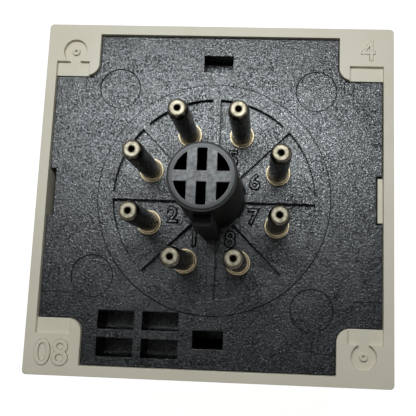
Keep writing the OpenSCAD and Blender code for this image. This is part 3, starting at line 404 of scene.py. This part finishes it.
def printed(name, colour):
    """Pad-printed ink, a little uneven in its cover."""
    finish = Finish(name)
    cover = finish.ramp(finish.noise(0.3, 4, 0.6), (0.3, 0.0), (0.7, 1.0))
    denser = tuple(int(value * 0.86) for value in colour)
    tone = finish.blend(cover, srgb(*colour), srgb(*denser))
    gloss = finish.ramp(cover, (0.0, 0.42), (1.0, 0.6))
    return finish.surface(tone, gloss, finish.bump(cover, 0.002, finish.rounded(0.02)))


# ---------------------------------------------------------------- the CAD nodes' finishes

def top(node):
    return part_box(node)[1].z / MM


face_z = top("case")
sector_z = face_z - SECTOR_DROP

ivory = moulded_plastic("ivory_plastic", (208, 200, 181), (199, 190, 169), (220, 214, 198),
                        grain=0.5, depth=0.003, roughness=(0.44, 0.56), edge=0.14)
# Painted shade: a thin dark line is painted along the field's edge and round each ejector mark
face_rings = [((0, 0), FIELD_R)] + [(place, EJECTOR_R) for place in EJECTOR_PLACES]
black = eroded_black("eroded_black_plastic", face_z, top("plug_base"), POST_RIM_R, face_rings)
# Painted shade: the pin numbers' steep walls are a dull near-black copy of the black plastic, which outlines
# each digit in dark
shaded_number_walls = moulded_plastic("shaded_number_walls", (12, 12, 13), (9, 9, 10), (16, 16, 17),
                               grain=0.3, roughness=(0.6, 0.8), edge=0.01, specular=0.2)
pin_finish = tinned_brass("tinned_brass", top("pin_1"), sector_z)
tinned_wire = clean_metal("tinned_wire", (196, 186, 160), (150, 138, 110))
panel_finish = moulded_plastic("panel_plastic", (70, 73, 77), (60, 63, 66), (110, 113, 116),
                               grain=0.4, depth=0.01)
dial_finish = moulded_plastic("dial_plastic", (140, 142, 141), (126, 128, 128), (176, 178, 177),
                              grain=0.4, depth=0.008)
shaft_finish = moulded_plastic("shaft_plastic", (172, 172, 168), (160, 160, 156), (196, 196, 192))
selector_finish = moulded_plastic("selector_plastic", (228, 226, 218), (218, 216, 206),
                                  (240, 239, 232), edge=0.08)
switch_finish = moulded_plastic("switch_plastic", (46, 104, 86), (38, 92, 76), (90, 140, 122))
relay_finish = moulded_plastic("relay_plastic", (42, 78, 152), (36, 68, 136), (96, 128, 186),
                               depth=0.003)
blue_part = moulded_plastic("blue_part", (48, 98, 176), (40, 84, 160), (110, 148, 206))
chip_finish = moulded_plastic("chip_resin", (34, 34, 37), (28, 28, 30), (70, 70, 74),
                              grain=0.2, depth=0.006, roughness=(0.5, 0.66))
film_yellow = moulded_plastic("film_yellow", (200, 178, 60), (186, 162, 48), (220, 204, 120))
film_red = moulded_plastic("film_red", (184, 72, 46), (166, 60, 38), (212, 120, 96),
                           roughness=(0.2, 0.34))
bobbin_finish = moulded_plastic("bobbin_plastic", (232, 226, 208), (222, 214, 192), (242, 238, 226))
sleeve = moulded_plastic("cap_sleeve", (36, 48, 74), (30, 40, 64), (80, 92, 118),
                         depth=0.002, roughness=(0.16, 0.28))
disc_coating = moulded_plastic("disc_coating", (44, 92, 180), (38, 80, 164), (96, 136, 204),
                               grain=0.6, depth=0.02, roughness=(0.28, 0.42))
resistor_coating = moulded_plastic("resistor_coating", (126, 144, 158), (112, 130, 146),
                                   (160, 174, 184), grain=0.3, depth=0.01, roughness=(0.4, 0.6))
ferrite = moulded_plastic("ferrite", (60, 60, 63), (48, 48, 51), (96, 96, 98),
                          grain=0.18, depth=0.012, roughness=(0.5, 0.7))
winding = wound_wire("copper_winding", (186, 112, 52), (96, 50, 22), pitch=0.34, along="X")
board = lacquered_board("board_laminate")
green_lens = clear_tint("green_lens", (64, 176, 92))
orange_lens = clear_tint("orange_lens", (224, 120, 40))

FINISHES = {
    "case": ivory, "plug_base": black, "lead_wires": tinned_wire,
    "front_panel": panel_finish, "time_dial": dial_finish, "dial_shaft": shaft_finish,
    "dial_potentiometer": blue_part, "mode_selector": selector_finish,
    "range_selector": selector_finish, "unit_selector": selector_finish,
    "mode_switch": switch_finish, "range_switch": switch_finish, "unit_switch": switch_finish,
    "power_lens": green_lens, "output_lens": orange_lens,
    "power_led": green_lens, "output_led": orange_lens,
    "front_board": board, "power_board": board, "control_board": board,
    "output_relay": relay_finish, "timer_chip": chip_finish, "timing_capacitor": film_yellow,
    "trim_potentiometer": blue_part, "driver_transistor": chip_finish,
    "transformer_core": ferrite, "transformer_bobbin": bobbin_finish, "transformer_winding": winding,
    "main_capacitor": sleeve, "smoothing_capacitor": sleeve, "film_capacitor": film_red,
    "surge_suppressor": disc_coating, "bridge_rectifier": chip_finish,
    "dropper_resistor": resistor_coating,
}

for name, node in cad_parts.items():
    node.data.materials.clear()
    node.data.materials.append(pin_finish if name.startswith("pin_") else FINISHES[name])


# ---------------------------------------------------------------- numerals

# Height of a digit in a font of size 1
GLYPH_HEIGHT = 0.7
# Depth by which a numeral's foot sinks into its face
FOOT_SINK = 0.03
# Faces of a numeral whose normal leans further than this from Z are its walls
WALL_TILT = 0.9
# Height, rise and draft of each kind of numeral, in millimetres
PIN_NUMBER = (2.35, 0.22, 0.2)
CAVITY_NUMBER = (2.8, 0.12, 0.1)
MOULD_NUMBER = (3.3, 0.2, 0.12)


def add_piece(name, mesh, body):
    """The mesh as a piece of its own that rides the body."""
    piece = bpy.data.objects.new(name, mesh)
    bpy.context.scene.collection.objects.link(piece)
    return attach(piece, body)


def glyphs(name, text, slope):
    """Mesh of the text in a font of size 1, lying at level nought, with walls as wide as the slope."""
    letters = bpy.data.curves.new(name, "FONT")
    letters.body = text
    letters.resolution_u = 6
    letters.bevel_depth = slope
    letters.bevel_resolution = 0
    source = bpy.data.objects.new(name + "_outline", letters)
    bpy.context.scene.collection.objects.link(source)
    bpy.context.view_layer.update()
    mesh = bpy.data.meshes.new_from_object(source.evaluated_get(bpy.context.evaluated_depsgraph_get()))
    bpy.data.objects.remove(source)
    return mesh


def numeral(name, text, centre, foot_z, form, material, walls=None, side=1):
    """Raised numeral about centre, of that form: its height, its rise off foot_z and its walls' draft.

    It reads right from the plug side, or from the front with side -1.
    """
    height, rise, draft = form
    mesh = glyphs(name, text, GLYPH_HEIGHT * draft / (height - 2 * draft))
    corners = [vertex.co for vertex in mesh.vertices]
    low = Vector(map(min, *corners))
    high = Vector(map(max, *corners))
    scale = height * MM / (high.y - low.y)
    for vertex in mesh.vertices:
        across, up, level = vertex.co - (low + high) / 2
        stands = rise if level > 1e-5 else -FOOT_SINK
        vertex.co = (centre[0] * MM + side * across * scale, centre[1] * MM + up * scale,
                     (foot_z + side * stands) * MM)
    if side < 0:
        mesh.flip_normals()
    for finish in (material, walls or material):
        mesh.materials.append(finish)
    mesh.update()
    for face in mesh.polygons:
        face.material_index = int(abs(face.normal.z) < WALL_TILT)
    return add_piece(name, mesh, "housing")


# Pin numbers run clockwise from the key; each stands in its sector near the post
NUMBER_NEAR = 2.25
NUMBER_FAR = 5.15
NUMBER_PLACES = [(-NUMBER_NEAR, -NUMBER_FAR), (-NUMBER_FAR, -NUMBER_NEAR),
                 (-NUMBER_FAR, NUMBER_NEAR), (-NUMBER_NEAR, NUMBER_FAR),
                 (NUMBER_NEAR, NUMBER_FAR), (NUMBER_FAR, NUMBER_NEAR),
                 (NUMBER_FAR, -NUMBER_NEAR), (NUMBER_NEAR, -NUMBER_FAR)]
for number, place in enumerate(NUMBER_PLACES, start=1):
    numeral(f"pin_number_{number}", str(number), place, sector_z, PIN_NUMBER, black,
            walls=shaded_number_walls)

numeral("cavity_number", "4", (19.15, 19.5), face_z, CAVITY_NUMBER, ivory)
numeral("mould_number", "08", (-19.0, -19.65), face_z, MOULD_NUMBER, ivory)


# ---------------------------------------------------------------- print on the front

INK_RISE = 0.04
# The dial rests at its highest number, and turns down through its joint's range to nought
SCALE_TOP = 10
SCALE_STEP = 30
POINTER_REST = 180
MINOR_TICKS = 5
TICK_R = 15.1
# Length and width of a tick
MAJOR_TICK = (1.1, 0.28)
MINOR_TICK = (0.66, 0.16)
NUMBER_R = 17.5
SCALE_NUMBER = (1.5, INK_RISE, 0.03)
# The pointer's ends on the dial, and its width
POINTER_ENDS = [(-8.3, 0), (-4.2, 0)]
POINTER_WIDTH = 0.5
# The selectors have four clicks
SELECTOR_CLICKS = 4
CLICK_STEP = 45
DOT_R = 0.28
DOT_SIDES = 20
DOT_PLACE_R = 3.75


def ring_place(radius, degrees, centre=(0, 0)):
    turn = math.radians(degrees)
    return (centre[0] + radius * math.cos(turn), centre[1] + radius * math.sin(turn))


def bar(start, end, width):
    """Outline of a straight stroke."""
    along = (Vector(end) - Vector(start)).normalized() * width / 2
    side = Vector((-along.y, along.x))
    return [Vector(start) - side, Vector(end) - side, Vector(end) + side, Vector(start) + side]


def dot(centre):
    return [Vector(ring_place(DOT_R, 360 * i / DOT_SIDES, centre)) for i in range(DOT_SIDES)]


def ink(name, outlines, foot_z, material, body="housing"):
    """Thin flat marks on a face that looks to the front, one for each outline."""
    places, faces = [], []
    for outline in outlines:
        count = len(outline)
        back = [len(places) + i for i in range(count)]
        front = [i + count for i in back]
        for level in (foot_z + INK_RISE, foot_z - INK_RISE):
            places += [(x * MM, y * MM, level * MM) for x, y in outline]
        faces += [back, front[::-1]]
        faces += [(back[i - 1], front[i - 1], front[i], back[i]) for i in range(count)]
    mesh = bpy.data.meshes.new(name)
    mesh.from_pydata(places, [], faces)
    mesh.materials.append(material)
    return add_piece(name, mesh, body)


def dial_scale(foot_z, material):
    """Ticks and numbers round the dial, rising clockwise as the front is seen."""
    ticks = []
    for i in range(SCALE_TOP * MINOR_TICKS + 1):
        turn = POINTER_REST - i * SCALE_STEP / MINOR_TICKS
        length, width = MINOR_TICK if i % MINOR_TICKS else MAJOR_TICK
        ticks.append(bar(ring_place(TICK_R, turn), ring_place(TICK_R + length, turn), width))
    ink("dial_scale", ticks, foot_z, material)
    for value in range(SCALE_TOP + 1):
        place = ring_place(NUMBER_R, POINTER_REST - (SCALE_TOP - value) * SCALE_STEP)
        numeral(f"scale_{value}", str(value), place, foot_z, SCALE_NUMBER, material,
                side=-1)


def click_dots(name, node, foot_z, material):
    """A dot at each place where the selector's mark comes to rest."""
    low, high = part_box(node)
    centre = ((low + high) / 2).xy / MM
    dots = [dot(ring_place(DOT_PLACE_R, -i * CLICK_STEP, centre)) for i in range(SELECTOR_CLICKS)]
    ink(name, dots, foot_z, material)


panel_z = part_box("front_panel")[0].z / MM
dial_face_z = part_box("time_dial")[0].z / MM
panel_ink = printed("panel_ink", (226, 224, 214))
dial_scale(panel_z, panel_ink)
for selector in ("mode", "range", "unit"):
    click_dots(f"{selector}_dots", f"{selector}_selector", panel_z, panel_ink)
pointer = bar(*POINTER_ENDS, POINTER_WIDTH)
ink("dial_pointer", [pointer], dial_face_z, panel_ink, "dial")


# ---------------------------------------------------------------- floor, light, camera

# Half of the floor's side, in metres
FLOOR_HALF = 1.5
FLOOR_CORNERS = [(-FLOOR_HALF, -FLOOR_HALF, 0), (FLOOR_HALF, -FLOOR_HALF, 0),
                 (FLOOR_HALF, FLOOR_HALF, 0), (-FLOOR_HALF, FLOOR_HALF, 0)]
FLOOR_GAP = 0.02 * MM
# Shade and glow of the floor: what lights the part's sides, and what is seen straight or in metal
FLOOR_LIT = (0.9, 0.4)
FLOOR_SEEN = (0.3, 0.95)
WORLD_LEVEL = 0.10
COOL_WHITE = (0.90, 0.97, 1.0)
# The low lamps shine from below at the corners, so steep that the plug face stays dark
LOW_LAMP_REACH = 176
LOW_LAMP_Z = -168


def glowing(nodes, links, shade, glow):
    """Matt grey of that shade with a glow of its own."""
    matt = nodes.new("ShaderNodeBsdfDiffuse")
    matt.inputs["Color"].default_value = grey(shade)
    light = nodes.new("ShaderNodeEmission")
    light.inputs["Strength"].default_value = glow
    both = nodes.new("ShaderNodeAddShader")
    links.new(light.outputs[0], both.inputs[0])
    links.new(matt.outputs[0], both.inputs[1])
    return both.outputs[0]


def mixed(nodes, links, share, first, second):
    """Two shaders, all of the second where the share is one."""
    made = nodes.new("ShaderNodeMixShader")
    links.new(share, made.inputs["Fac"])
    links.new(first, made.inputs[1])
    links.new(second, made.inputs[2])
    return made.outputs[0]


def joined(nodes, links, operation, first, second):
    """Two sockets' values joined by that operation."""
    made = nodes.new("ShaderNodeMath")
    made.operation = operation
    links.new(first, made.inputs[0])
    links.new(second, made.inputs[1])
    return made.outputs[0]


def one_of(nodes, links, *kinds):
    """One for a ray of any of those kinds."""
    path = nodes.new("ShaderNodeLightPath")
    total = path.outputs[kinds[0]]
    for kind in kinds[1:]:
        total = joined(nodes, links, "MAXIMUM", total, path.outputs[kind])
    return total


def floor_finish():
    """White where it is seen, straight or in metal; clear from below and to shadow rays."""
    material = bpy.data.materials.new("pale_floor")
    material.use_nodes = True
    nodes, links = material.node_tree.nodes, material.node_tree.links
    nodes.clear()
    seen = one_of(nodes, links, "Is Camera Ray", "Is Glossy Ray", "Is Transmission Ray")
    solid = mixed(nodes, links, seen, glowing(nodes, links, *FLOOR_LIT), glowing(nodes, links, *FLOOR_SEEN))
    below = nodes.new("ShaderNodeNewGeometry").outputs["Backfacing"]
    clear = joined(nodes, links, "MAXIMUM", below, one_of(nodes, links, "Is Shadow Ray"))
    nothing = nodes.new("ShaderNodeBsdfTransparent").outputs[0]
    output = nodes.new("ShaderNodeOutputMaterial")
    links.new(mixed(nodes, links, clear, solid, nothing), output.inputs["Surface"])
    return material


def floor():
    """Pale floor that shows white and keeps a soft shadow; it is clear from below, for the front's views."""
    mesh = bpy.data.meshes.new("floor")
    mesh.from_pydata(FLOOR_CORNERS, [], [(0, 1, 2, 3)])
    mesh.materials.append(floor_finish())
    plane = bpy.data.objects.new("floor", mesh)
    bpy.context.scene.collection.objects.link(plane)
    plane.location.z = cad_low.z - FLOOR_GAP


def mapped(nodes, links, value, **ends):
    """The value on a new scale, whose ends are given by input, From Min to To Max."""
    made = nodes.new("ShaderNodeMapRange")
    for name, end in ends.items():
        made.inputs[name.replace("_", " ")].default_value = end
    links.new(value, made.inputs["Value"])
    return made.outputs[0]


def studio():
    """Even grey light from all round; straight and in metal it shows white, up to a darker ceiling."""
    world = bpy.data.worlds.new("studio")
    world.use_nodes = True
    nodes, links = world.node_tree.nodes, world.node_tree.links
    ground = nodes["Background"]
    ground.inputs["Color"].default_value = grey(1)
    ray = nodes.new("ShaderNodeSeparateXYZ")
    links.new(nodes.new("ShaderNodeTexCoord").outputs["Generated"], ray.inputs[0])
    backdrop = mapped(nodes, links, ray.outputs["Z"], From_Min=0.7, From_Max=0.3)
    mirror = one_of(nodes, links, "Is Glossy Ray", "Is Transmission Ray")
    mirrored = joined(nodes, links, "MULTIPLY", backdrop, mirror)
    seen = joined(nodes, links, "MAXIMUM", mirrored, one_of(nodes, links, "Is Camera Ray"))
    strength = mapped(nodes, links, seen, To_Min=WORLD_LEVEL, To_Max=1.0)
    links.new(strength, ground.inputs["Strength"])
    bpy.context.scene.world = world


def softbox(name, place, target, size, power, colour=(1, 1, 1)):
    """Rectangular lamp, place and target in millimetres."""
    lamp = bpy.data.lights.new(name, "AREA")
    lamp.shape = "RECTANGLE"
    lamp.size, lamp.size_y = size[0] * MM, size[1] * MM
    lamp.energy = power
    lamp.color = colour
    holder = bpy.data.objects.new(name, lamp)
    bpy.context.scene.collection.objects.link(holder)
    holder.location = Vector(place) * MM
    aim = (Vector(target) - Vector(place)).normalized()
    holder.rotation_euler = aim.to_track_quat("-Z", "Y").to_euler()


def camera():
    """Camera a hand's breadth above the pins, a little below and right of their axis."""
    place = Vector((6.358, -10.669, 124.366)) * MM
    ahead = Vector((-0.0446, 0.1390, -0.9893)).normalized()
    up = Vector((-0.0293, 0.9897, 0.1403))
    right = ahead.cross(up).normalized()
    up = right.cross(ahead)
    lens = bpy.data.cameras.new("camera")
    lens.lens = 50.585
    lens.shift_x = -0.0714
    lens.shift_y = -0.0145
    lens.clip_start = 0.005
    holder = bpy.data.objects.new("camera", lens)
    bpy.context.scene.collection.objects.link(holder)
    turn = Matrix((right, up, -ahead)).transposed()
    holder.matrix_world = Matrix.Translation(place) @ turn.to_4x4()
    bpy.context.scene.camera = holder


floor()
studio()
softbox("key_lamp", place=(-3, 33, 140), target=(-3, 2, 50), size=(80, 20), power=0.074,
        colour=COOL_WHITE)
softbox("ceiling_panel", place=(-60, 120, 290), target=(0, 0, 50), size=(190, 130), power=0.08)
for across in (-1, 1):
    for up in (-1, 1):
        corner = (across * LOW_LAMP_REACH, up * LOW_LAMP_REACH, LOW_LAMP_Z)
        softbox(f"low_lamp_{across}_{up}", place=corner, target=(0, 0, 20), size=(150, 150), power=0.2)
camera()

bpy.context.scene.view_settings.view_transform = "Standard"
